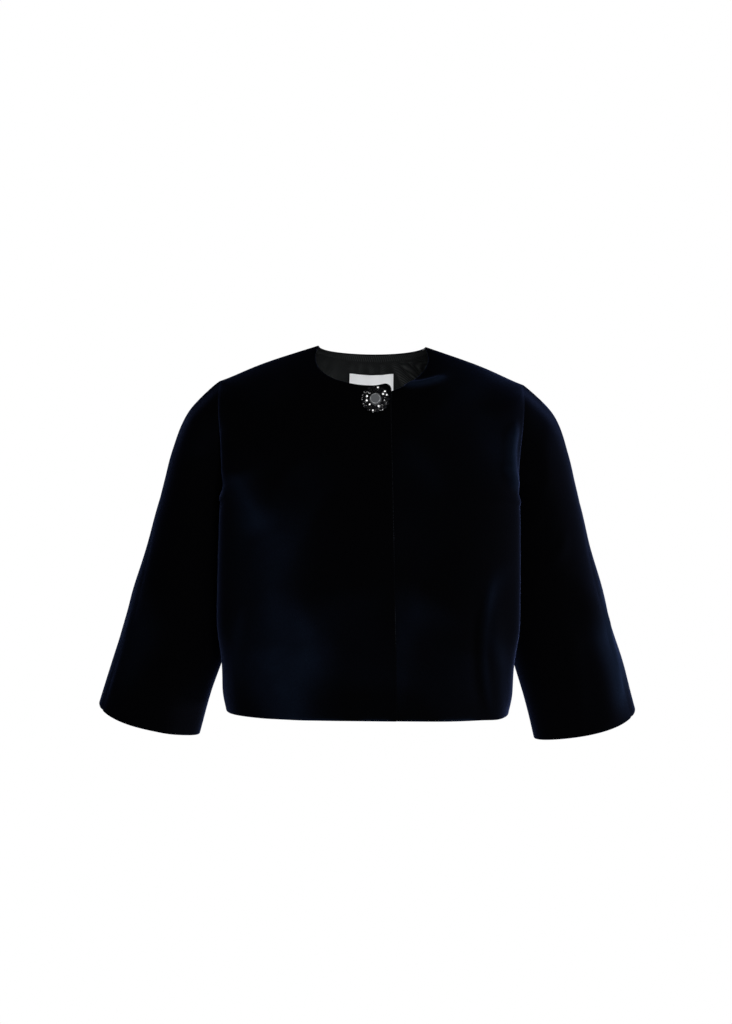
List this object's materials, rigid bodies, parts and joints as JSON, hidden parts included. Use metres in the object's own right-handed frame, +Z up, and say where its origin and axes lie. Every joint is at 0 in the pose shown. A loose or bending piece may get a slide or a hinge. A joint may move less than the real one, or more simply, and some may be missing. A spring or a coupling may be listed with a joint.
{
  "type": "bolero jacket",
  "caption": "Cropped collarless velvet jacket with wide three-quarter sleeves, a lapped front and a jewelled button at the neck.",
  "frame": {"origin": "midway between the two shoulder neck points, where the wearer carries the jacket", "axes": "+Z up, -Y to the front, +X to the wearer's left"},
  "size_m": [0.709, 0.2478, 0.5156],
  "materials": {
    "velvet": "short pile velvet, near-black navy",
    "lining_twill": "fine twill lining, dark grey",
    "label_satin": "satin ribbon, white, blank",
    "dark_metal": "dark plated",
    "grey_glass": "polished, grey, backed",
    "black_glass": "polished, cut, black"
  },
  "bodies": {
    "root": {"front_right": "velvet", "front_left": "velvet", "back": "velvet", "sleeve_top_right": "velvet", "sleeve_under_right": "velvet", "sleeve_top_left": "velvet", "sleeve_under_left": "velvet", "back_lining": "lining_twill", "back_neck_facing": "lining_twill", "label": "label_satin", "button_setting": "dark_metal", "button_stone": "grey_glass", "inner_crystal_01": "black_glass", "inner_crystal_02": "black_glass", "inner_crystal_03": "black_glass", "inner_crystal_04": "black_glass", "inner_crystal_05": "black_glass", "inner_crystal_06": "black_glass", "inner_crystal_07": "black_glass", "inner_crystal_08": "black_glass", "inner_crystal_09": "black_glass", "inner_crystal_10": "black_glass", "inner_crystal_11": "black_glass", "outer_crystal_01": "black_glass", "outer_crystal_02": "black_glass", "outer_crystal_03": "black_glass", "outer_crystal_04": "black_glass", "outer_crystal_05": "black_glass", "outer_crystal_06": "black_glass", "outer_crystal_07": "black_glass", "outer_crystal_08": "black_glass", "outer_crystal_09": "black_glass", "outer_crystal_10": "black_glass", "outer_crystal_11": "black_glass", "outer_crystal_12": "black_glass", "outer_crystal_13": "black_glass", "outer_crystal_14": "black_glass", "outer_crystal_15": "black_glass", "outer_crystal_16": "black_glass", "outer_crystal_17": "black_glass", "outer_crystal_18": "black_glass"}
  },
  "joints": []
}
